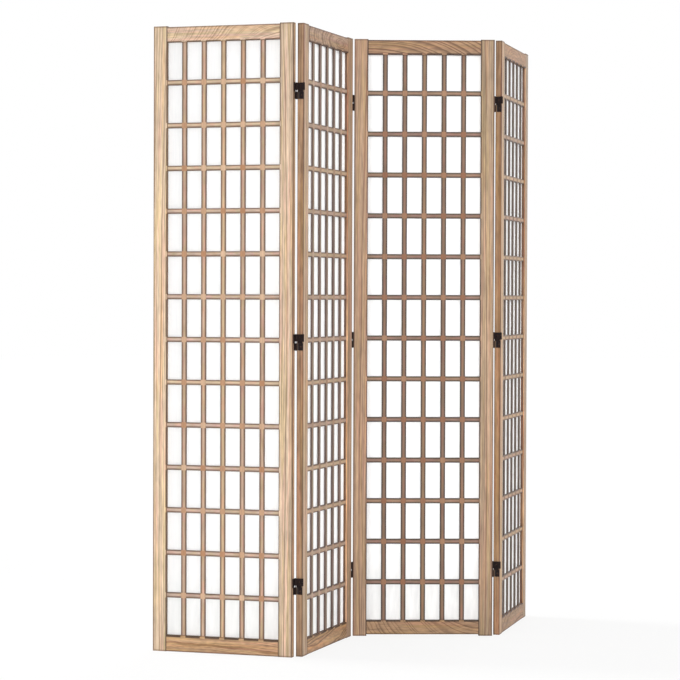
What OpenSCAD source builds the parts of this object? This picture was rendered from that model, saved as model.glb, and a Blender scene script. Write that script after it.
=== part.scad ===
// Four-panel folding screen: wooden lattice panels backed with paper, joined by two-way hinges.
// Each panel is drawn in its own frame: X along its width, Y from front to back, Z up from the floor.

/* [Panels] */
// Height of the stiles, from the foot to the top
panel_h = 1790; // [1200:10:2200]
// Width of one panel
panel_w = 420; // [300:5:600]
// Thickness of the stiles and rails
frame_t = 19; // [17:0.5:30]
// Face width of the stiles
stile_w = 41; // [32:1:60]
// Face height of the top rail
top_rail_h = 44; // [34:0.5:70]
// Height of the lower edge of the openings above the feet
sill_h = 47.5; // [38:0.5:70]
// How far the top rail lies below the tops of the stiles
rail_drop = 2.5; // [0:0.5:10]
// How far the bottom rail of each panel ends above the feet
rail_lifts = [0.5, 0.5, 4.5, 0.5]; // [0:0.5:10]
// Radius of the eased long edges of stiles and rails
edge_r = 1; // [0.5:0.25:2]

/* [Standing pose] */
// Turn of the first panel from straight across
first_turn = -17; // [-40:1:10]
// Bend between the first and the second panel, where straight is 0
bend_12 = 87; // [40:1:120]
// Bend between the second and the third panel
bend_23 = 69; // [40:1:120]
// Bend between the third and the fourth panel
bend_34 = 73; // [40:1:120]

/* [Lattice] */
// Columns of openings across a panel
columns = 6; // [3:1:8]
// Rows of openings up a panel
rows = 14; // [6:1:18]
// Face width of the lattice bars
bar_w = 15; // [10:0.5:18]
// Depth of the uprights
upright_t = 4.5; // [4:0.5:6]
// Depth of the crossbars, which reach back to the paper
crossbar_t = 7; // [6:0.5:9]
// Setback of the lattice from the front of the frame
recess = 4; // [3:0.5:7]
// Chamfer along the front edges of the lattice bars
bar_ease = 0.5; // [0.25:0.25:1]
// Length of the stub tenons at the ends of the bars
tenon_len = 8; // [5:1:14]
// Width of the stub tenons
tenon_w = 9; // [5:0.5:10]
// Thickness of the stub tenons
tenon_t = 3.5; // [2:0.5:3.5]

/* [Paper] */
// Thickness of the paper sheet
paper_t = 0.5; // [0.3:0.1:1]
// Width of the rebate that takes the margin of the paper
rebate_w = 6; // [4:0.5:10]

/* [Dowels] */
// Radius of the dowels that join rails to stiles
dowel_r = 4; // [3:0.5:5]
// Length of one dowel, half of it in the stile
dowel_len = 50; // [30:2:60]
// Distance between the two dowels of a joint
dowel_pitch = 22; // [14:1:30]

/* [Hinges] */
// Gap between two neighbouring stiles when the screen stands straight
hinge_gap = 6; // [5.5:0.5:9]
// Height of one hinge
hinge_h = 46; // [40:1:70]
// Height of the hinge centre near the foot
hinge_low = 199; // [120:1:300]
// Height of the hinge centre near the middle
hinge_mid = 890; // [600:5:1000]
// Distance of the highest hinge's centre below the tops of the stiles
hinge_top_drop = 191; // [120:1:300]
// Thickness of the hinge leaves and of the link between them
leaf_t = 1.2; // [0.8:0.1:1.4]
// Radius of the hinge pins
pin_r = 1.3; // [1:0.1:1.6]
// How far the pin axes stand proud of the front and back faces
pin_reach = 1.2; // [1:0.1:3]
// Height of the slot between the two barrels of the working pin
slot_h = 5; // [3:0.5:8]
// Width of the narrow lower part of the leaves
foot_leaf_w = 12; // [10:0.5:16]
// Radius of the domed pin ends
pin_head_r = 2; // [1.7:0.1:2.3]

/* [Screws] */
// Radius of the screw heads
screw_head_r = 2.8; // [2.4:0.1:3]
// Radius of the screw shanks
screw_r = 1.5; // [1.2:0.1:1.7]
// Length of the screws below the leaf
screw_len = 18; // [12:1:20]

/* [Hidden] */
// Clearances
pin_clear = 0.05;   // radial, pin in its bores
hole_clear = 0.05;  // radial, dowels and screws
lap_clear = 0.1;    // total, a bar in its lap, a tenon in its mortise
end_clear = 0.4;    // beyond the end of a tenon, dowel or screw
paper_clear = 0.3;  // round the paper in its rebate
knuckle_clear = 0.3; // between two barrels of one pin
head_clear = 0.3;   // between a pin head and the barrel that turns under it
leaf_clear = 0.4;   // between a barrel and the plate beside it
access_clear = 0.8; // round the screw head, in the hole of the link
past = 1;           // how far a cut goes past the face it starts from
$fn = 32;
dome_steps = 4;

// Panel sizes that follow
rail_len = panel_w - 2 * stile_w;
head_z = panel_h - rail_drop - top_rail_h;
open_h = head_z - sill_h;
column_pitch = (rail_len + bar_w) / columns;
row_pitch = (open_h + bar_w) / rows;
bar_back = recess + crossbar_t;
lap_depth = upright_t / 2;
upright_y = recess + upright_t / 2;
crossbar_y = recess + crossbar_t / 2;
upright_x = [for (i = [1:columns - 1]) stile_w + i * column_pitch - bar_w / 2];
crossbar_z = [for (i = [1:rows - 1]) sill_h + i * row_pitch - bar_w / 2];

// Hinge sizes that follow: the barrels just fill the gap
barrel_r = hinge_gap / 2;
front_pin_y = -pin_reach;
back_pin_y = frame_t + pin_reach;
barrel_h = (hinge_h - slot_h) / 2;
upper_z = hinge_h - barrel_h;
half_h = (barrel_h - knuckle_clear) / 2;
plate_front = front_pin_y + barrel_r + leaf_clear;
plate_back = back_pin_y - barrel_r - leaf_clear;
pin_head_h = 0.9;
screw_dome_h = 0.5;
screw_point_r = 0.6;
screw_point_h = 3;
hinge_z = [for (z = [hinge_low, hinge_mid, panel_h - hinge_top_drop]) z - hinge_h / 2];

// Screws of the working leaf and of the link's leaf, as [y, z] on the leaf
upper_screw = [frame_t / 2, upper_z + barrel_h / 2];
working_screws = [upper_screw, [frame_t - foot_leaf_w / 2, barrel_h / 2]];
closed_screws = [upper_screw, [foot_leaf_w / 2, barrel_h / 2]];

// Standing pose: heading of each panel, and its front left corner on the floor
function turned(v, a) = [v[0] * cos(a) - v[1] * sin(a), v[0] * sin(a) + v[1] * cos(a)];
heading = [first_turn, first_turn + bend_12, first_turn + bend_12 - bend_23,
    first_turn + bend_12 - bend_23 + bend_34];
panels = len(heading);
lines = panels - 1;
function opens_behind(line) = line % 2 == 0;
function open_pin_y(line) = opens_behind(line) ? back_pin_y : front_pin_y;
function loose_corner(p) = p == 0 ? [0, 0] :
    loose_corner(p - 1)
    + turned([panel_w + hinge_gap / 2, open_pin_y(p - 1)], heading[p - 1])
    - turned([-hinge_gap / 2, open_pin_y(p - 1)], heading[p]);

// The origin is the middle of the whole screen's floor box
reach_points = [for (p = [0:panels - 1], x = [edge_r, panel_w - edge_r], y = [edge_r, frame_t - edge_r])
    [loose_corner(p) + turned([x, y], heading[p]), edge_r]];
reach_barrels = [for (l = [0:lines - 1], y = [front_pin_y, back_pin_y])
    let (p = opens_behind(l) ? l + 1 : l, x = opens_behind(l) ? -hinge_gap / 2 : panel_w + hinge_gap / 2)
    [loose_corner(p) + turned([x, y], heading[p]), barrel_r]];
reach = concat(reach_points, reach_barrels);
function middle(k) = (min([for (r = reach) r[0][k] - r[1]]) + max([for (r = reach) r[0][k] + r[1]])) / 2;
origin = [middle(0), middle(1)];

PANEL_PIECES = ["left_stile", "right_stile", "top_rail", "bottom_rail", "uprights", "crossbars",
    "paper", "dowels"];
HINGE_PIECES = ["working_leaves", "closed_leaves", "links", "working_pins", "closed_pins",
    "working_screws", "closed_screws"];
function panel_node(p, piece) = str("panel_", p + 1, "_", piece);
function hinge_node(l, piece) = str("hinge_", l + 1, l + 2, "_", piece);

STILE_COLOUR = [0.80, 0.67, 0.52];
RAIL_COLOUR = [0.74, 0.58, 0.43];
BAR_COLOUR = [0.62, 0.50, 0.42];
PAPER_COLOUR = [0.96, 0.96, 0.95];
DOWEL_COLOUR = [0.86, 0.76, 0.58];
BRONZE_COLOUR = [0.17, 0.13, 0.12];
PIN_COLOUR = [0.25, 0.19, 0.16];

// Moves a piece from its panel's frame to where the panel stands
module at_panel(p) {
    translate(concat(loose_corner(p) - origin, [0]))
        rotate(heading[p])
            children();
}

// A rectangle with its four corners rounded
module eased(w, t) {
    translate([edge_r, 0]) square([w - 2 * edge_r, t]);
    translate([0, edge_r]) square([w, t - 2 * edge_r]);
    for (x = [edge_r, w - edge_r], y = [edge_r, t - edge_r])
        translate([x, y]) circle(edge_r);
}

// The space of the paper's margin, cut from the back of the frame
module paper_space(clear) {
    translate([stile_w - rebate_w + clear, bar_back, sill_h - rebate_w + clear])
        cube([rail_len + 2 * (rebate_w - clear), frame_t, open_h + 2 * (rebate_w - clear)]);
}

// Stub tenons of one upright, or with a clearance their mortises
module upright_tenons(x, clear, extra) {
    w = tenon_w + clear;
    t = tenon_t + clear;
    l = tenon_len + extra;
    for (z = [sill_h - l, head_z])
        translate([x - w / 2, upright_y - t / 2, z]) cube([w, t, l]);
}

// Stub tenons of one crossbar, or with a clearance their mortises
module crossbar_tenons(z, clear, extra) {
    w = tenon_w + clear;
    t = tenon_t + clear;
    l = tenon_len + extra;
    for (x = [stile_w - l, stile_w + rail_len])
        translate([x, crossbar_y - t / 2, z - w / 2]) cube([l, t, w]);
}

// All dowels of a panel, or with a clearance their holes
module dowel_set(p, clear, extra) {
    for (x = [stile_w, stile_w + rail_len],
        z = [(rail_lifts[p] + sill_h) / 2, head_z + top_rail_h / 2],
        side = [-1, 1])
        translate([x - dowel_len / 2 - extra, frame_t / 2, z + side * dowel_pitch / 2])
            rotate([0, 90, 0]) cylinder(r = dowel_r + clear, h = dowel_len + 2 * extra);
}

// Holes for the screws of the three hinges on one edge of a panel
module edge_screw_holes(p, at_right) {
    l = at_right ? p : p - 1;
    if (l >= 0 && l < lines) {
        behind = opens_behind(l);
        spots = at_right == behind ? working_screws : closed_screws;
        for (base = hinge_z, s = spots)
            translate([at_right ? panel_w : 0, behind ? s[0] : frame_t - s[0], base + s[1]])
                rotate([0, at_right ? -90 : 90, 0])
                    cylinder(r = screw_r + hole_clear, h = screw_len + end_clear);
    }
}

module stile(p, at_right) {
    color(STILE_COLOUR) at_panel(p) difference() {
        translate([at_right ? panel_w - stile_w : 0, 0, 0])
            linear_extrude(panel_h) eased(stile_w, frame_t);
        paper_space(0);
        for (z = crossbar_z) crossbar_tenons(z, lap_clear, end_clear);
        dowel_set(p, hole_clear, end_clear);
        edge_screw_holes(p, at_right);
    }
}

module rail(p, at_top) {
    color(RAIL_COLOUR) at_panel(p) difference() {
        translate([stile_w, 0, at_top ? head_z : rail_lifts[p]])
            rotate([90, 0, 90]) linear_extrude(rail_len)
                eased(frame_t, at_top ? top_rail_h : sill_h - rail_lifts[p]);
        paper_space(0);
        for (x = upright_x) upright_tenons(x, lap_clear, end_clear);
        dowel_set(p, hole_clear, end_clear);
    }
}

// Section of a lattice bar with its front edges chamfered, the front at the bottom
module bar_section(depth) {
    polygon([[bar_ease - bar_w / 2, 0], [bar_w / 2 - bar_ease, 0], [bar_w / 2, bar_ease],
        [bar_w / 2, depth], [-bar_w / 2, depth], [-bar_w / 2, bar_ease]]);
}

// Side view of a bar, notched from its front or its back to the plane where the laps meet
module lapped_side(length, depth, laps, notch_front) {
    difference() {
        square([length, depth]);
        for (at = laps)
            translate([at - (bar_w + lap_clear) / 2, notch_front ? -past : lap_depth])
                square([bar_w + lap_clear, notch_front ? past + lap_depth : depth]);
    }
}

// The uprights run through in front and are the thinner bars; their laps are cut from behind
module uprights(p) {
    color(BAR_COLOUR) at_panel(p) for (x = upright_x) union() {
        intersection() {
            translate([x, recess, sill_h]) linear_extrude(open_h) bar_section(upright_t);
            translate([x + bar_w / 2, recess, sill_h])
                rotate([0, -90, 0]) linear_extrude(bar_w)
                    lapped_side(open_h, upright_t, [for (z = crossbar_z) z - sill_h], false);
        }
        upright_tenons(x, 0, 0);
    }
}

// The crossbars run through behind, so their laps are cut from the front
module crossbars(p) {
    color(BAR_COLOUR) at_panel(p) for (z = crossbar_z) union() {
        intersection() {
            translate([stile_w + rail_len, recess, z])
                rotate([0, -90, 0]) linear_extrude(rail_len) bar_section(crossbar_t);
            translate([stile_w, recess, z - bar_w / 2])
                linear_extrude(bar_w)
                    lapped_side(rail_len, crossbar_t, [for (x = upright_x) x - stile_w], true);
        }
        crossbar_tenons(z, 0, 0);
    }
}

module paper(p) {
    color(PAPER_COLOUR) at_panel(p) intersection() {
        paper_space(paper_clear);
        translate([0, bar_back, 0]) cube([panel_w, paper_t, panel_h]);
    }
}

module dowels(p) {
    color(DOWEL_COLOUR) at_panel(p) dowel_set(p, 0, 0);
}

// The hinge's own frame: the working leaf on the left at minus half the gap, the closed leaf on
// the right, the closed pin in front, the working pin behind. A line that opens in front has it
// turned half round.
module at_working_side(l) {
    if (opens_behind(l)) at_panel(l) translate([panel_w + hinge_gap / 2, 0, 0]) children();
    else at_panel(l + 1) translate([-hinge_gap / 2, frame_t, 0]) rotate(180) children();
}

module at_closed_side(l) {
    if (opens_behind(l)) at_panel(l + 1) translate([-hinge_gap / 2, 0, 0]) children();
    else at_panel(l) translate([panel_w + hinge_gap / 2, frame_t, 0]) rotate(180) children();
}

module three_hinges() {
    for (z = hinge_z) translate([0, 0, z]) children();
}

// A barrel or its bore, upright round a pin axis
module barrel(y, z, r, h) {
    translate([0, y, z]) cylinder(r = r, h = h);
}

// A flat plate between two depths, with its outer face at x
module plate(x, y0, y1, z, h) {
    translate([x, y0, z]) cube([leaf_t, y1 - y0, h]);
}

// Countersunk holes of a leaf whose fixed face is at x, sunk towards the middle of the gap
module countersinks(x, inward, spots) {
    for (s = spots)
        translate([x, s[0], s[1]]) rotate([0, inward * 90, 0]) {
            translate([0, 0, -past]) cylinder(r = screw_r + hole_clear, h = leaf_t + 2 * past);
            cylinder(r1 = screw_r + hole_clear, r2 = screw_head_r + hole_clear, h = leaf_t);
        }
}

// Domed screws with countersunk heads, through a leaf and into the stile
module screws(x, inward, spots) {
    dome_r = (screw_head_r * screw_head_r + screw_dome_h * screw_dome_h) / (2 * screw_dome_h);
    for (s = spots)
        translate([x, s[0], s[1]]) rotate([0, inward * 90, 0]) rotate_extrude() polygon(concat(
            [[0, -screw_len], [screw_point_r, -screw_len], [screw_r, screw_point_h - screw_len],
                [screw_r, 0], [screw_head_r, leaf_t]],
            [for (k = [1:dome_steps]) let (r = screw_head_r * (1 - k / dome_steps))
                [r, leaf_t + screw_dome_h - dome_r + sqrt(dome_r * dome_r - r * r)]]));
}

// Pin with a domed head at each end, its shank between two heights
module headed_pin(y, z0, z1) {
    dome = [for (k = [1:dome_steps]) let (a = k * 90 / dome_steps)
        [pin_head_r * sin(a), pin_head_h * cos(a)]];
    translate([0, y, 0]) rotate_extrude() polygon(concat(
        [[0, z0 - pin_head_h]],
        [for (d = dome) [d[0], z0 - d[1]]],
        [[pin_r, z0], [pin_r, z1]],
        [for (k = [dome_steps - 1:-1:0]) [dome[k][0], z1 + dome[k][1]]],
        [[0, z1 + pin_head_h]]));
}

// Leaf whose long lower barrel turns on the working pin
module working_leaves(l) {
    color(BRONZE_COLOUR) at_working_side(l) three_hinges() difference() {
        union() {
            plate(-barrel_r, plate_front, plate_back, barrel_h, hinge_h - barrel_h);
            plate(-barrel_r, frame_t - foot_leaf_w, back_pin_y, 0, barrel_h);
            barrel(back_pin_y, 0, barrel_r, barrel_h);
        }
        barrel(back_pin_y, -past, pin_r + pin_clear, hinge_h);
        countersinks(-barrel_r, 1, working_screws);
    }
}

// Leaf whose short top barrel turns on the closed pin
module closed_leaves(l) {
    color(BRONZE_COLOUR) at_closed_side(l) three_hinges() difference() {
        union() {
            plate(barrel_r - leaf_t, plate_front, plate_back, barrel_h, hinge_h - barrel_h);
            plate(barrel_r - leaf_t, leaf_clear, foot_leaf_w, 0, barrel_h);
            plate(barrel_r - leaf_t, front_pin_y, plate_front, hinge_h - half_h, half_h);
            barrel(front_pin_y, hinge_h - half_h, barrel_r, half_h);
        }
        barrel(front_pin_y, upper_z, pin_r + pin_clear, hinge_h);
        countersinks(barrel_r, -1, closed_screws);
    }
}

// Link plate between the two pins, in the upper half of the hinge
module links(l) {
    color(BRONZE_COLOUR) at_closed_side(l) three_hinges() difference() {
        union() {
            plate(-leaf_t / 2, plate_front, back_pin_y, upper_z, barrel_h);
            plate(-leaf_t / 2, front_pin_y, plate_front, upper_z, half_h);
            barrel(front_pin_y, upper_z, barrel_r, half_h);
            barrel(back_pin_y, upper_z, barrel_r, barrel_h);
        }
        for (y = [front_pin_y, back_pin_y]) barrel(y, 0, pin_r + pin_clear, hinge_h + past);
        translate([-leaf_t, upper_screw[0], upper_screw[1]])
            rotate([0, 90, 0]) cylinder(r = screw_head_r + access_clear, h = 2 * leaf_t);
    }
}

module working_pins(l) {
    color(PIN_COLOUR) at_working_side(l) three_hinges()
        headed_pin(back_pin_y, 0, hinge_h + head_clear);
}

module closed_pins(l) {
    color(PIN_COLOUR) at_closed_side(l) three_hinges()
        headed_pin(front_pin_y, upper_z - head_clear, hinge_h);
}

module working_screw_set(l) {
    color(PIN_COLOUR) at_working_side(l) three_hinges() screws(-barrel_r, 1, working_screws);
}

module closed_screw_set(l) {
    color(PIN_COLOUR) at_closed_side(l) three_hinges() screws(barrel_r, -1, closed_screws);
}

for (p = [0:panels - 1]) {
    stile(p, false);
    stile(p, true);
    rail(p, true);
    rail(p, false);
    uprights(p);
    crossbars(p);
    paper(p);
    dowels(p);
}
for (l = [0:lines - 1]) {
    working_leaves(l);
    closed_leaves(l);
    links(l);
    working_pins(l);
    closed_pins(l);
    working_screw_set(l);
    closed_screw_set(l);
}
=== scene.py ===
import bpy
import bmesh
import math
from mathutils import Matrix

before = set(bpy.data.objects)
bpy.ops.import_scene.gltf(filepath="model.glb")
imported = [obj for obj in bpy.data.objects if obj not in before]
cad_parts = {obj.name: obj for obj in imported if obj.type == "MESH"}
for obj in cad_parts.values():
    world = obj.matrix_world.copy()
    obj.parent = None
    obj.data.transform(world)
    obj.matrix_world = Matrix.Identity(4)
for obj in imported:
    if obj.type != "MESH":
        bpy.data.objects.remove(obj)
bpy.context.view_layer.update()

# where each panel's front left corner stands in metres, and its turn in degrees
panelStands = {
    1: {"corner": (-0.568909, -0.300482), "turn": -17},
    2: {"corner": (-0.138478, -0.408928), "turn": 70},
    3: {"corner": (0.010303, -0.010596), "turn": 1},
    4: {"corner": (0.453129, 0.014300), "turn": 74},
}

# the frame and the lattice in the panel's own frame, in metres
joinery = {"stile": 0.041, "width": 0.420, "height": 1.790, "depth": 0.019, "sill": 0.0475,
           "head": 1.7435, "railTop": 1.7875, "railFoot": {1: 0.0005, 2: 0.0005, 3: 0.0045, 4: 0.0005},
           "firstUpright": 0.092333, "uprightPitch": 0.058833, "firstCrossbar": 0.162214,
           "crossbarPitch": 0.122214, "halfBar": 0.0075, "hingeFeet": (0.176, 0.867, 1.576)}


def tint(red, green, blue):
    # screen numbers from 0 to 255 into the linear colour that shaders want
    steps = []
    for part in (red, green, blue):
        part = part / 255
        steps.append(part / 12.92 if part <= 0.04045 else ((part + 0.055) / 1.055) ** 2.4)
    return (*steps, 1)


def addNode(tree, kind, feeds, **choices):
    made = tree.nodes.new(kind)
    for name, value in choices.items():
        setattr(made, name, value)
    for socket, value in feeds.items():
        if isinstance(value, bpy.types.NodeSocket):
            tree.links.new(value, made.inputs[socket])
        else:
            made.inputs[socket].default_value = value
    return made


def reckon(tree, how, first, second=0.0, third=0.0, clamp=False):
    return addNode(tree, "ShaderNodeMath", {0: first, 1: second, 2: third},
                   operation=how, use_clamp=clamp).outputs[0]


def fade(tree, value, low, high, start=0.0, end=1.0):
    feeds = {"Value": value, "From Min": low, "From Max": high, "To Min": start, "To Max": end}
    return addNode(tree, "ShaderNodeMapRange", feeds, interpolation_type="SMOOTHSTEP").outputs[0]


def both(tree, first, second):
    return reckon(tree, "MULTIPLY", first, second)


def either(tree, first, second):
    return reckon(tree, "MAXIMUM", first, second)


def stain(tree, amount, under, over, how="MIX"):
    return addNode(tree, "ShaderNodeMix", {0: amount, 6: under, 7: over},
                   data_type="RGBA", blend_type=how).outputs[2]


def lighten(tree, colour, amount):
    return addNode(tree, "ShaderNodeHueSaturation", {"Color": colour, "Value": amount}).outputs[0]


def panelPlace(tree, panel):
    # the panel's own frame: width along x, front to back along y, height along z
    stand = panelStands[panel]
    turn = math.radians(-stand["turn"])
    x, y = stand["corner"]
    shift = (-(x * math.cos(turn) - y * math.sin(turn)), -(x * math.sin(turn) + y * math.cos(turn)), 0)
    spot = addNode(tree, "ShaderNodeTexCoord", {})
    return addNode(tree, "ShaderNodeMapping", {"Vector": spot.outputs["Object"], "Location": shift,
                                               "Rotation": (0, 0, turn)}, vector_type="POINT").outputs[0]


def stretched(tree, place, size, shift=(0, 0, 0)):
    return addNode(tree, "ShaderNodeMapping", {"Vector": place, "Location": shift, "Scale": size},
                   vector_type="POINT").outputs[0]


def noise(tree, place, detail=2.0, rough=0.5):
    return addNode(tree, "ShaderNodeTexNoise", {"Vector": place, "Scale": 1.0, "Detail": detail,
                                                "Roughness": rough})


def fromBar(tree, spot, first, pitch):
    # signed distance from the middle line of the nearest bar, and that bar's number
    steps = reckon(tree, "DIVIDE", reckon(tree, "SUBTRACT", spot, first), pitch)
    number = reckon(tree, "ROUND", steps)
    return both(tree, reckon(tree, "SUBTRACT", steps, number), pitch), number


def freshFinish(name):
    finish = bpy.data.materials.new(name)
    finish.use_nodes = True
    return finish, finish.node_tree, finish.node_tree.nodes["Principled BSDF"]


def emboss(tree, shader, height, strength, distance):
    bump = addNode(tree, "ShaderNodeBump", {"Height": height, "Strength": strength, "Distance": distance})
    tree.links.new(bump.outputs[0], shader.inputs["Normal"])


def wear(node, finish):
    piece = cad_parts[node]
    piece.data.materials.clear()
    piece.data.materials.append(finish)


def growthLines(tree, place, look):
    # rings round a far centre, bent by slow noise, with uneven spacing and strength
    x, y, z = addNode(tree, "ShaderNodeSeparateXYZ", {0: place}).outputs
    slow = (look["slow"], 9, look["waves"]) if look["along"] == "up" else (look["waves"], 9, look["slow"])
    drift = noise(tree, stretched(tree, place, slow, look["seed"]))
    across, height = look["centre"]
    wide = both(tree, reckon(tree, "SUBTRACT", x, across), look["squeeze"][0])
    tall = both(tree, reckon(tree, "SUBTRACT", z, height), look["squeeze"][1])
    arm = addNode(tree, "ShaderNodeCombineXYZ", {0: wide, 1: 0.0, 2: tall}).outputs[0]
    radius = addNode(tree, "ShaderNodeVectorMath", {0: arm}, operation="LENGTH").outputs["Value"]
    radius = reckon(tree, "MULTIPLY_ADD", y, 0.6, radius)
    radius = reckon(tree, "MULTIPLY_ADD", drift.outputs["Fac"], look["wander"], radius)
    steps = reckon(tree, "DIVIDE", radius, look["spacing"])
    uneven = addNode(tree, "ShaderNodeTexNoise", {"W": both(tree, steps, 0.6), "Scale": 1.0, "Detail": 0.0},
                     noise_dimensions="1D").outputs["Fac"]
    steps = reckon(tree, "MULTIPLY_ADD", uneven, look["uneven"], steps)
    part = reckon(tree, "FRACT", steps)
    line = both(tree, fade(tree, part, look["lineFrom"], 0.9), fade(tree, part, 0.9, 1.0, 1.0, 0.0))
    ring = addNode(tree, "ShaderNodeTexWhiteNoise", {"W": reckon(tree, "FLOOR", steps)},
                   noise_dimensions="1D")
    strength = fade(tree, ring.outputs["Value"], 0.0, 0.9, look["weakest"], 1.0)
    patch = fade(tree, drift.outputs["Color"], 0.35, 0.6, look["faintest"], 1.0)
    return both(tree, both(tree, line, strength), patch)


# boards: shared figures of the wood; each board's own look may overrule them
# the tints for the edges, the side faces, the line along the opening and the corners by the paper are
# painted shade
timber = {"lineDepth": 0.95, "lineTint": (0.42, 0.32, 0.25), "streaks": 0.8, "mottle": 1.1, "fibres": 0.5,
          "pinkTint": (1.07, 0.95, 0.97), "strawTint": (1.0, 1.0, 0.84), "tintReach": (0.48, 0.62),
          "pitReach": (0.58, 0.72), "pitDepth": 0.4, "shadedOutline": (0.30, 0.25, 0.22), "shadedOutlineDepth": 0.85,
          "tipDepth": 0.8, "innerPaintedShading": (0.36, 0.29, 0.23), "shadowLineTint": (0.24, 0.19, 0.16),
          "shadowLineDepth": 0.95, "corner": (0.0065, 0.009), "cornerPaintedShade": (0.30, 0.25, 0.22),
          "cornerShadeDepth": 0.95, "outerPaintedShade": (0.72, 0.62, 0.52), "swing": 0.06, "weakest": 0.3,
          "faintest": 0.4, "uneven": 1.6, "faceReach": (0.0003, 0.0011), "easedEdge": (0.001, 0.003),
          "rimShadeReach": (0.0016, 0.0050), "barFade": 0.001, "endFade": 0.004}
# how fine the figures of the wood are across, through and along a board, in counts to the metre
figure = {"streaks": (110, 60, 3.2), "swing": (8, 8, 1.8), "fibres": (520, 130, 13), "pits": (1500, 400, 30)}
woodRough = {"least": 0.42, "byFibres": 0.25}
# the dark mark beside a lower leaf: its middle above the leaf's foot, and where its ends fade out
leafMark = {"middle": 0.0105, "half": (0.0098, 0.0106), "tint": (44, 33, 30)}


def grainSize(upright, wide, deep, long):
    return (wide, deep, long) if upright else (long, deep, wide)


def wash(tree, amount, colour, shade):
    return stain(tree, amount, colour, (*shade, 1), "MULTIPLY")


def roughen(tree, shader, fibres):
    rough = reckon(tree, "MULTIPLY_ADD", fibres, woodRough["byFibres"], woodRough["least"])
    tree.links.new(rough, shader.inputs["Roughness"])


def boardSpot(tree, node, look):
    # where a point lies in the panel's frame, and how far from the outer rim and from the opening
    panel = int(node[6])
    place = panelPlace(tree, panel)
    x, y, z = addNode(tree, "ShaderNodeSeparateXYZ", {0: place}).outputs
    stile, width = joinery["stile"], joinery["width"]
    if "left" in node:
        rim, inner, along = (x, 1, 0), (x, -1, stile), z
    elif "right" in node:
        rim, inner, along = (x, -1, width), (x, 1, stile - width), z
    elif "top" in node:
        rim, inner, along = (z, -1, joinery["railTop"]), (z, 1, -joinery["head"]), x
    else:
        rim, inner, along = (z, 1, -joinery["railFoot"][panel]), (z, -1, joinery["sill"]), x
    rim = reckon(tree, "MULTIPLY_ADD", *rim)
    inner = reckon(tree, "MULTIPLY_ADD", *inner)
    return {"place": place, "y": y, "z": z, "along": along, "rim": rim, "inner": inner,
            "onOuter": fade(tree, rim, *look["faceReach"], 1.0, 0.0),
            "onInner": fade(tree, inner, *look["faceReach"], 1.0, 0.0)}


def boardWood(tree, spot, fibres, upright, look):
    # one wood colour for the board, a little paler and deeper by turns along it
    place = spot["place"]
    broad = noise(tree, stretched(tree, place, grainSize(upright, *figure["streaks"]), look["seed"]))
    lift, pink, straw = addNode(tree, "ShaderNodeSeparateColor", {0: broad.outputs["Color"]}).outputs
    slow = noise(tree, stretched(tree, place, grainSize(upright, *figure["swing"]), look["seed"]))
    swing = fade(tree, slow.outputs["Fac"], 0.35, 0.65, 1 - look["swing"], 1 + look["swing"])
    if upright:
        # every stile is a little deeper towards its foot and its top
        middle = joinery["height"] / 2
        fromMiddle = reckon(tree, "ABSOLUTE", reckon(tree, "SUBTRACT", spot["z"], middle))
        swing = both(tree, swing, fade(tree, fromMiddle, look["endFrom"], middle, 1.0, look["endShade"]))
    colour = lighten(tree, tint(*look["wood"]), swing)
    if upright:
        # painted shade: the outer side faces of the stiles are a little deeper and warmer than their fronts
        colour = wash(tree, spot["onOuter"], colour, look["outerPaintedShade"])
    mottleSize = grainSize(upright, *look["mottleSize"])
    mottle = noise(tree, stretched(tree, place, mottleSize, look["seed"]), detail=3.0)
    level = reckon(tree, "MULTIPLY_ADD", lift, look["streaks"],
                   1 - 0.5 * (look["streaks"] + look["mottle"] + look["fibres"]))
    level = reckon(tree, "MULTIPLY_ADD", mottle.outputs["Fac"], look["mottle"], level)
    level = reckon(tree, "MULTIPLY_ADD", fibres, look["fibres"], level)
    colour = lighten(tree, colour, level)
    colour = wash(tree, fade(tree, pink, *look["tintReach"]), colour, look["pinkTint"])
    return wash(tree, fade(tree, straw, *look["tintReach"]), colour, look["strawTint"])


def shadowLineRun(tree, spot, upright, look):
    # the painted shadow line along the opening stops at the bars' ends, and on a stile it runs on past the
    # rails
    reach = joinery["firstCrossbar"], joinery["crossbarPitch"]
    if not upright:
        reach = joinery["firstUpright"], joinery["uprightPitch"]
    away = reckon(tree, "ABSOLUTE", fromBar(tree, spot["along"], *reach)[0])
    run = fade(tree, away, joinery["halfBar"] - look["barFade"], joinery["halfBar"] + look["barFade"])
    if upright:
        overHead = fade(tree, spot["z"], joinery["head"] - look["endFade"], joinery["head"])
        underSill = fade(tree, spot["z"], joinery["sill"], joinery["sill"] + look["endFade"], 1.0, 0.0)
        run = either(tree, either(tree, run, overHead), underSill)
    return run


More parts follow.
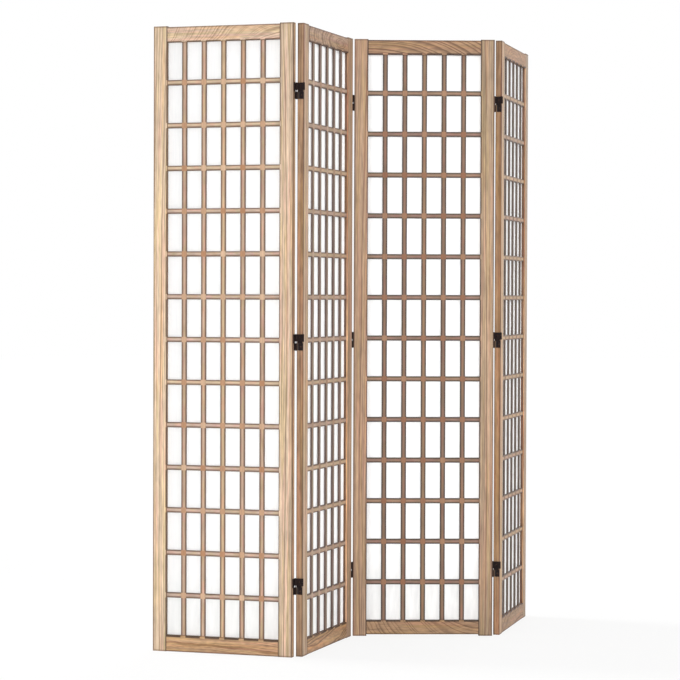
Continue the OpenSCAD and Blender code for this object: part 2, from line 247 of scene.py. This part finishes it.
def boardEdges(tree, spot, upright, look, colour):
    # painted shade along the eased edges, darker ends, a painted shadow line along the opening and painted
    # shade in the corners beside the paper
    low, high = look["easedEdge"]
    nearFront = fade(tree, spot["y"], low, high, 1.0, 0.0)
    nearBack = fade(tree, spot["y"], joinery["depth"] - high, joinery["depth"] - low)
    edge = both(tree, fade(tree, spot["rim"], *look["rimShadeReach"], 1.0, 0.0), either(tree, nearFront, nearBack))
    first, last = joinery["stile"], joinery["width"] - joinery["stile"]
    if upright:
        first, last = 0, joinery["height"]
    near, far = look["tips"]
    tips = either(tree, fade(tree, spot["along"], first + near, first + far, 1.0, 0.0),
                  fade(tree, spot["along"], last - far, last - near))
    shadedOutline = either(tree, edge, both(tree, tips, look["tipDepth"]))
    # a painted shadow line on the front beside the opening
    paintedShadowLine = both(tree, fade(tree, spot["inner"], *look["shadowLineReach"], 1.0, 0.0), nearFront)
    paintedShadowLine = both(tree, paintedShadowLine, shadowLineRun(tree, spot, upright, look))
    # painted shade in the corner where the side face meets the paper
    corner = both(tree, spot["onInner"], fade(tree, spot["y"], *look["corner"]))
    colour = wash(tree, both(tree, shadedOutline, look["shadedOutlineDepth"]), colour, look["shadedOutline"])
    colour = wash(tree, both(tree, corner, look["cornerShadeDepth"]), colour, look["cornerPaintedShade"])
    return wash(tree, both(tree, paintedShadowLine, look["shadowLineDepth"]), colour, look["shadowLineTint"])


def hingeMarks(tree, spot, look, colour):
    # the side face is nearly black beside the lower leaf of each hinge
    for foot in joinery["hingeFeet"]:
        offLeaf = reckon(tree, "ABSOLUTE", reckon(tree, "SUBTRACT", spot["z"], foot + leafMark["middle"]))
        besideLeaf = fade(tree, offLeaf, *leafMark["half"], 1.0, 0.0)
        mark = both(tree, besideLeaf, fade(tree, spot["y"], *look["hingeMark"], 1.0, 0.0))
        colour = stain(tree, both(tree, mark, spot["onOuter"]), colour, tint(*leafMark["tint"]))
    return colour


def boardFinish(name, node, look):
    look = {**timber, **look}
    upright = "stile" in node
    finish, tree, shader = freshFinish(name)
    spot = boardSpot(tree, node, look)
    fibreSize = grainSize(upright, *figure["fibres"])
    fibres = noise(tree, stretched(tree, spot["place"], fibreSize), detail=3.0, rough=0.6).outputs["Fac"]
    pitSize = grainSize(upright, *figure["pits"])
    pits = noise(tree, stretched(tree, spot["place"], pitSize), detail=1.0).outputs["Fac"]
    pinholes = fade(tree, pits, *look["pitReach"], 0.0, look["pitDepth"])

    colour = boardWood(tree, spot, fibres, upright, look)
    lines = both(tree, growthLines(tree, spot["place"], look), look["lineDepth"])
    colour = wash(tree, lines, colour, look["lineTint"])
    colour = wash(tree, pinholes, colour, look["lineTint"])
    # painted shade on the side face towards the opening; on the right stiles of panels 2 and 4 it is painted
    # light instead
    colour = wash(tree, spot["onInner"], colour, look["innerPaintedShading"])
    colour = boardEdges(tree, spot, upright, look, colour)
    if "hingeMark" in look:
        colour = hingeMarks(tree, spot, look, colour)
    tree.links.new(colour, shader.inputs["Base Color"])
    roughen(tree, shader, fibres)
    emboss(tree, shader, reckon(tree, "SUBTRACT", fibres, pinholes), 0.25, 0.0004)
    return finish


# the upright frame pieces: one wood colour each, straight grain
stileLooks = {
    "panel_1_left_stile": {"wood": (232, 206, 176)},
    "panel_1_right_stile": {"wood": (222, 196, 169)},
    "panel_2_left_stile": {"wood": (206, 178, 151), "hingeMark": (0.0168, 0.0176)},
    # on the right stiles of panels 2 and 4 the side face towards the opening is brightened with painted
    # light and darkened with painted shade in its corner by the paper
    "panel_2_right_stile": {"wood": (193, 165, 141), "innerPaintedShading": (2.0, 1.7, 1.45),
                            "corner": (0.0012, 0.0055), "cornerPaintedShade": (0.12, 0.085, 0.065),
                            "shadowLineTint": (0.8, 0.76, 0.72)},
    "panel_3_left_stile": {"wood": (188, 155, 126)},
    "panel_3_right_stile": {"wood": (186, 158, 129)},
    "panel_4_left_stile": {"wood": (214, 180, 145), "hingeMark": (0.0155, 0.0165)},
    "panel_4_right_stile": {"wood": (185, 158, 132), "innerPaintedShading": (1.9, 1.66, 1.44),
                            "corner": (0.0008, 0.0050), "cornerPaintedShade": (0.14, 0.10, 0.08),
                            "shadowLineTint": (0.8, 0.76, 0.72)},
}
stileGrain = {"along": "up", "slow": 24, "waves": 1.3, "mottleSize": (190, 70, 18), "mottle": 1.0,
              "wander": 0.016, "squeeze": (1, 0.03), "spacing": 0.0075, "lineFrom": 0.42, "weakest": 0.6,
              "faintest": 0.65, "shadowLineReach": (0.0012, 0.0046), "tips": (0.002, 0.006), "endFrom": 0.3,
              "endShade": 0.84}
for count, (node, look) in enumerate(stileLooks.items()):
    middle = joinery["stile"] / 2 if "left" in node else joinery["width"] - joinery["stile"] / 2
    look = {**stileGrain, "centre": (middle + 0.05 * (-1) ** count, 0.4 + 0.3 * (count % 4)),
            "seed": (3.1 * count, 1.7 * count, 5.3 * count), **look}
    wear(node, boardFinish(node + "_wood", node, look))
print("stiles finished")

# the rails: one wood colour each, figure that sweeps across the board, and a painted shadow line along the
# opening
railLooks = {
    "panel_1_top_rail": {"wood": (216, 190, 165), "centre": (0.40, 1.62), "squeeze": (0.9, 1.0),
                         "spacing": 0.008, "weakest": 0.5, "faintest": 0.7},
    "panel_1_bottom_rail": {"wood": (193, 157, 122), "centre": (0.02, -0.45), "squeeze": (0.35, 1.0),
                            "spacing": 0.0075, "wander": 0.022, "waves": 9, "weakest": 0.6, "faintest": 0.6,
                            "shadowLineReach": (0.0042, 0.0072), "shadowLineTint": (0.12, 0.09, 0.08)},
    "panel_2_top_rail": {"wood": (176, 146, 124), "centre": (0.31, 1.764), "squeeze": (0.35, 1.0),
                         "spacing": 0.008, "weakest": 0.6, "faintest": 0.7},
    "panel_2_bottom_rail": {"wood": (184, 147, 109), "centre": (0.10, 0.30), "squeeze": (0.5, 1.0),
                            "spacing": 0.013, "wander": 0.03, "waves": 6, "weakest": 0.85, "faintest": 0.9,
                            "lineFrom": 0.25, "lineTint": (0.20, 0.13, 0.08), "shadowLineReach": (0.003, 0.006)},
    "panel_3_top_rail": {"wood": (167, 132, 99), "centre": (0.05, 1.60), "squeeze": (0.55, 1.0),
                         "spacing": 0.0088, "wander": 0.018, "weakest": 0.7, "faintest": 0.85, "uneven": 0.9,
                         "lineFrom": 0.4, "lineTint": (0.24, 0.16, 0.11), "shadowLineReach": (0.0042, 0.0068),
                         "shadowLineTint": (0.18, 0.14, 0.12)},
    "panel_3_bottom_rail": {"wood": (167, 133, 100), "centre": (0.40, 0.20), "squeeze": (0.9, 1.0),
                            "spacing": 0.011, "wander": 0.020, "waves": 6, "weakest": 0.6, "faintest": 0.7,
                            "lineFrom": 0.5, "lineTint": (0.30, 0.21, 0.15), "shadowLineReach": (0.0038, 0.0064),
                            "shadowLineTint": (0.12, 0.09, 0.08)},
    "panel_4_top_rail": {"wood": (171, 131, 97), "centre": (0.21, 1.72), "squeeze": (0.45, 1.0),
                         "spacing": 0.009, "weakest": 0.5, "shadowLineReach": (0.003, 0.006),
                         "shadowLineTint": (0.14, 0.11, 0.10)},
    "panel_4_bottom_rail": {"wood": (168, 135, 107), "centre": (0.335, -0.48), "squeeze": (1.0, 1.0),
                            "spacing": 0.010},
}
railGrain = {"along": "level", "slow": 24, "waves": 2.2, "mottleSize": (190, 70, 42), "wander": 0.014,
             "lineFrom": 0.4, "shadowLineReach": (0.0015, 0.0056), "tips": (0.0004, 0.002)}
for count, (node, look) in enumerate(railLooks.items()):
    look = {**railGrain, "seed": (2.3 * count, 4.1 * count, 1.9 * count), **look}
    wear(node, boardFinish(node + "_wood", node, look))
print("rails finished")

# the lattice: thin bars with painted shade along their long edges and on their side faces, and a clean warm
# square where two bars cross
latticeLooks = {
    1: {"upright": (200, 169, 144), "crossbar": (206, 179, 160), "edge": (98, 74, 58), "side": (106, 82, 66),
        "square": ((174, 124, 86), (214, 180, 148)), "edgeReach": (0.0074, 0.0050)},
    # panels 2 and 4 stand side-on, and their uprights' tones hold painted shade that makes them far darker
    # than their crossbars
    2: {"upright": (148, 130, 118), "crossbar": (190, 164, 145), "edge": (100, 78, 66), "side": (96, 76, 68),
        "square": ((166, 130, 104), (196, 170, 148)), "edgeReach": (0.0050, 0.0050)},
    3: {"upright": (142, 110, 88), "crossbar": (150, 119, 101), "edge": (50, 36, 28), "side": (60, 44, 35),
        "square": ((136, 86, 54), (166, 126, 94)), "edgeReach": (0.0066, 0.0062)},
    4: {"upright": (84, 69, 58), "crossbar": (186, 155, 130), "edge": (78, 60, 50), "side": (84, 68, 58),
        "square": ((120, 84, 60), (164, 132, 108)), "edgeReach": (0.0050, 0.0050)},
}
barSwing = {"brightness": 0.9, "fibres": 0.4, "own": 0.3, "pink": (1.08, 0.93, 0.97),
            "sage": (0.97, 1.0, 0.85), "tintReach": (0.48, 0.6)}
# how a bar's tones fade: round a crossing, from its long edges darkened with painted shade, and at its side
# faces painted a shaded tone
barEdge = {"crossing": (0.0005, 0.0010), "start": 0.0016, "depth": 0.9, "shadedFlank": (0.0006, 0.0002)}


def barFinish(name, panel, look, upright):
    finish, tree, shader = freshFinish(name)
    place = panelPlace(tree, panel)
    x, y, z = addNode(tree, "ShaderNodeSeparateXYZ", {0: place}).outputs
    fromUpright, uprightNumber = fromBar(tree, x, joinery["firstUpright"], joinery["uprightPitch"])
    fromCrossbar, crossbarNumber = fromBar(tree, z, joinery["firstCrossbar"], joinery["crossbarPitch"])
    side, crossing, number = ((fromUpright, fromCrossbar, uprightNumber) if upright
                              else (fromCrossbar, fromUpright, crossbarNumber))
    half = joinery["halfBar"]
    fine = (480, 90, 12) if upright else (12, 90, 480)
    fibres = noise(tree, stretched(tree, place, fine), detail=3.0, rough=0.6).outputs["Fac"]
    broad = (90, 30, 16) if upright else (30, 30, 90)
    mottle = noise(tree, stretched(tree, place, broad, (panel, 0, panel)), detail=3.0, rough=0.6)
    lift, pink, straw = addNode(tree, "ShaderNodeSeparateColor", {0: mottle.outputs["Color"]}).outputs
    # every bar has a shade of its own
    barNumber = reckon(tree, "ADD", number, panel * 20 + 3 * upright)
    own = addNode(tree, "ShaderNodeTexWhiteNoise", {"W": barNumber}, noise_dimensions="1D").outputs["Value"]
    level = reckon(tree, "MULTIPLY_ADD", lift, barSwing["brightness"],
                   1 - 0.5 * (barSwing["brightness"] + barSwing["fibres"] + barSwing["own"]))
    level = reckon(tree, "MULTIPLY_ADD", fibres, barSwing["fibres"], level)
    level = reckon(tree, "MULTIPLY_ADD", own, barSwing["own"], level)
    body = tint(*look["upright" if upright else "crossbar"])
    body = wash(tree, fade(tree, pink, *barSwing["tintReach"]), body, barSwing["pink"])
    sage = either(tree, fade(tree, straw, *barSwing["tintReach"]), fade(tree, own, 0.45, 0.55))
    body = wash(tree, sage, body, barSwing["sage"])
    colour = lighten(tree, body, level)

    # the square over a crossing, each with its own shade
    spot = addNode(tree, "ShaderNodeCombineXYZ", {0: uprightNumber, 1: crossbarNumber, 2: float(panel)})
    square = addNode(tree, "ShaderNodeTexWhiteNoise", {"Vector": spot.outputs[0]}, noise_dimensions="3D")
    deep, pale = look["square"]
    squareTone = lighten(tree, stain(tree, square.outputs["Value"], tint(*deep), tint(*pale)),
                         fade(tree, fibres, 0.3, 0.7, 0.9, 1.1))
    away = reckon(tree, "ABSOLUTE", crossing)
    short, past = barEdge["crossing"]
    onCrossing = fade(tree, away, half - short, half + past, 1.0, 0.0)
    colour = stain(tree, onCrossing, colour, squareTone)

    # painted shade along the bar's long edges, left off over a crossing
    lower, upper = look["edgeReach"]
    edge = either(tree, fade(tree, side, -half + barEdge["start"], -half + lower, 1.0, 0.0),
                  fade(tree, side, half - upper, half - barEdge["start"]))
    edge = both(tree, edge, reckon(tree, "SUBTRACT", 1.0, onCrossing))
    colour = stain(tree, both(tree, edge, barEdge["depth"]), colour, tint(*look["edge"]))
    # the side faces get a shaded tone: painted shade
    begin, full = barEdge["shadedFlank"]
    shadedFlank = fade(tree, reckon(tree, "ABSOLUTE", side), half - begin, half - full)
    colour = stain(tree, shadedFlank, colour, lighten(tree, tint(*look["side"]), level))
    tree.links.new(colour, shader.inputs["Base Color"])
    roughen(tree, shader, fibres)
    emboss(tree, shader, fibres, 0.2, 0.0003)
    return finish


for panel, look in latticeLooks.items():
    wear(f"panel_{panel}_uprights", barFinish(f"panel_{panel}_upright_wood", panel, look, True))
    wear(f"panel_{panel}_crossbars", barFinish(f"panel_{panel}_crossbar_wood", panel, look, False))
print("lattice finished")

# the dowels are plain beech inside the joints
dowel = {"pale": (222, 190, 150), "deep": (190, 152, 112)}
for panel in panelStands:
    finish, tree, shader = freshFinish(f"panel_{panel}_dowel_wood")
    place = panelPlace(tree, panel)
    fibres = noise(tree, stretched(tree, place, (14, 420, 420)), detail=3.0, rough=0.6).outputs["Fac"]
    tree.links.new(stain(tree, fade(tree, fibres, 0.35, 0.65), tint(*dowel["deep"]), tint(*dowel["pale"])),
                   shader.inputs["Base Color"])
    tree.links.new(fade(tree, fibres, 0.2, 0.8, 0.5, 0.75), shader.inputs["Roughness"])
    emboss(tree, shader, fibres, 0.2, 0.0003)
    wear(f"panel_{panel}_dowels", finish)

# the paper: long soft fibres that run up the sheet, with painted shade making it a little greyer low down
paper = {"sheet": (250, 250, 249), "fibre": (244, 245, 245), "sheen": 0.3,
         "depth": {1: 0.003, 2: 0.003, 3: 0.003, 4: 0.012},
         "low": {1: (224, 227, 226), 2: (222, 223, 222), 3: (208, 209, 209), 4: (222, 223, 222)}}


def paperFinish(panel):
    finish, tree, shader = freshFinish(f"panel_{panel}_paper_sheet")
    place = panelPlace(tree, panel)
    fibres = noise(tree, stretched(tree, place, (420, 420, 14)), detail=3.0, rough=0.65).outputs["Fac"]
    clouds = noise(tree, stretched(tree, place, (60, 60, 12))).outputs["Fac"]
    z = addNode(tree, "ShaderNodeSeparateXYZ", {0: place}).outputs[2]
    colour = stain(tree, fade(tree, fibres, 0.45, 0.75), tint(*paper["sheet"]), tint(*paper["fibre"]))
    # painted shade towards the foot of the sheet
    low = both(tree, fade(tree, z, 0.15, 0.28, 1.0, 0.0), fade(tree, clouds, 0.2, 0.8, 0.6, 1.0))
    colour = stain(tree, low, colour, tint(*paper["low"][panel]))
    tree.links.new(colour, shader.inputs["Base Color"])
    tree.links.new(fade(tree, clouds, 0.3, 0.7, 0.82, 0.95), shader.inputs["Roughness"])
    emboss(tree, shader, fibres, 0.15, 0.0002)
    shader.inputs["Specular IOR Level"].default_value = 0.0
    shader.inputs["Sheen Weight"].default_value = paper["sheen"]
    shader.inputs["Subsurface Weight"].default_value = 1.0
    shader.inputs["Subsurface Radius"].default_value = (1, 1, 1)
    shader.inputs["Subsurface Scale"].default_value = paper["depth"][panel]
    return finish


for panel in panelStands:
    wear(f"panel_{panel}_paper", paperFinish(panel))
print("paper finished")

# the hinges: dark bronze with redder worn patches, brighter on the pins and screws
bronze = {"dark": (24, 15, 16), "warm": (52, 35, 31), "scale": 260, "metal": 0.3, "rough": 0.55,
          "rougher": 0.18, "shine": 0.25}
rubbed = {**bronze, "metal": 0.7, "rough": 0.4}


def bronzeFinish(name, look):
    finish, tree, shader = freshFinish(name)
    spot = addNode(tree, "ShaderNodeTexCoord", {}).outputs["Object"]
    size = look["scale"]
    patches = noise(tree, stretched(tree, spot, (size, size, size)), detail=4.0, rough=0.65).outputs["Fac"]
    colour = stain(tree, fade(tree, patches, 0.42, 0.68), tint(*look["dark"]), tint(*look["warm"]))
    tree.links.new(colour, shader.inputs["Base Color"])
    roughness = fade(tree, patches, 0.3, 0.7, look["rough"], look["rough"] + look["rougher"])
    tree.links.new(roughness, shader.inputs["Roughness"])
    emboss(tree, shader, patches, 0.3, 0.0003)
    shader.inputs["Metallic"].default_value = look["metal"]
    shader.inputs["Specular IOR Level"].default_value = look["shine"]
    return finish


leafBronze = bronzeFinish("hinge_leaf_bronze", bronze)
pinBronze = bronzeFinish("hinge_pin_bronze", {**rubbed, "warm": (92, 68, 58), "scale": 500})
screwBronze = bronzeFinish("hinge_screw_bronze", {**rubbed, "warm": (104, 78, 66), "scale": 700})
hingeFinishes = {"leaves": leafBronze, "links": leafBronze, "pins": pinBronze, "screws": screwBronze}
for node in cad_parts:
    if node.startswith("hinge_"):
        wear(node, hingeFinishes[node.rsplit("_", 1)[1]])
print("hinges finished")

# white surroundings, seen as plain white and lighting everything softly
world = bpy.data.worlds.new("white_room")
bpy.context.scene.world = world
world.use_nodes = True


def directRays(tree):
    rays = addNode(tree, "ShaderNodeLightPath", {})
    seen = reckon(tree, "ADD", rays.outputs["Is Camera Ray"], rays.outputs["Is Glossy Ray"])
    return reckon(tree, "ADD", seen, rays.outputs["Is Transmission Ray"], clamp=True)


skyLook = {"lighting": 0.34, "seen": 1.0}
sky = world.node_tree
skyFeeds = {"Value": directRays(sky), "To Min": skyLook["lighting"], "To Max": skyLook["seen"]}
skyLevel = addNode(sky, "ShaderNodeMapRange", skyFeeds)
sky.nodes["Background"].inputs["Color"].default_value = (1, 1, 1, 1)
sky.links.new(skyLevel.outputs[0], sky.nodes["Background"].inputs["Strength"])

# a white floor that melts into the surroundings and keeps a soft shadow
floorLook = {"half": 30, "paint": 0.93, "glow": 0.84}
floorMesh = bpy.data.meshes.new("floor")
floorShape = bmesh.new()
bmesh.ops.create_grid(floorShape, x_segments=1, y_segments=1, size=floorLook["half"])
floorShape.to_mesh(floorMesh)
floorShape.free()
floor = bpy.data.objects.new("floor", floorMesh)
bpy.context.scene.collection.objects.link(floor)
floorFinish, floorTree, floorShader = freshFinish("floor_white")
floorShader.inputs["Base Color"].default_value = (*[floorLook["paint"]] * 3, 1)
floorShader.inputs["Roughness"].default_value = 0.9
floorShader.inputs["Specular IOR Level"].default_value = 0.0
glow = addNode(floorTree, "ShaderNodeEmission", {"Strength": 1.0})
share = both(floorTree, directRays(floorTree), floorLook["glow"])
melted = addNode(floorTree, "ShaderNodeMixShader", {0: share, 1: floorShader.outputs[0], 2: glow.outputs[0]})
floorTree.links.new(melted.outputs[0], floorTree.nodes["Material Output"].inputs["Surface"])
floorMesh.materials.append(floorFinish)

lamps = {
    "front": {"strength": 0.95, "spread": 10, "tilt": (78, 0, -3)},
    "right": {"strength": 0.65, "spread": 20, "tilt": (72, 0, 48)},
    "behind": {"strength": 0.65, "spread": 40, "tilt": (66, 0, 160)},
    "behind_left": {"strength": 2.95, "spread": 20, "tilt": (70, 0, 250)},
    "above": {"strength": 0.75, "spread": 60, "tilt": (8, 0, 0)},
}
for name, lamp in lamps.items():
    light = bpy.data.lights.new(name, "SUN")
    light.energy = lamp["strength"]
    light.angle = math.radians(lamp["spread"])
    hung = bpy.data.objects.new(name, light)
    hung.rotation_euler = [math.radians(a) for a in lamp["tilt"]]
    bpy.context.scene.collection.objects.link(hung)

# the camera stands nearly seven metres off, about a metre up
cameraStand = {"spot": (-0.091548, -6.813696, 1.023362), "tilt": (88.8718, -0.1943, -0.5084),
               "lens": 120.163, "sensor": 36, "reach": 200}
camera = bpy.data.objects.new("camera", bpy.data.cameras.new("camera"))
camera.location = cameraStand["spot"]
camera.rotation_euler = [math.radians(a) for a in cameraStand["tilt"]]
camera.data.lens = cameraStand["lens"]
camera.data.sensor_width = cameraStand["sensor"]
camera.data.clip_end = cameraStand["reach"]
bpy.context.scene.collection.objects.link(camera)
bpy.context.scene.camera = camera
bpy.context.scene.view_settings.view_transform = "Standard"
print("room and camera set")
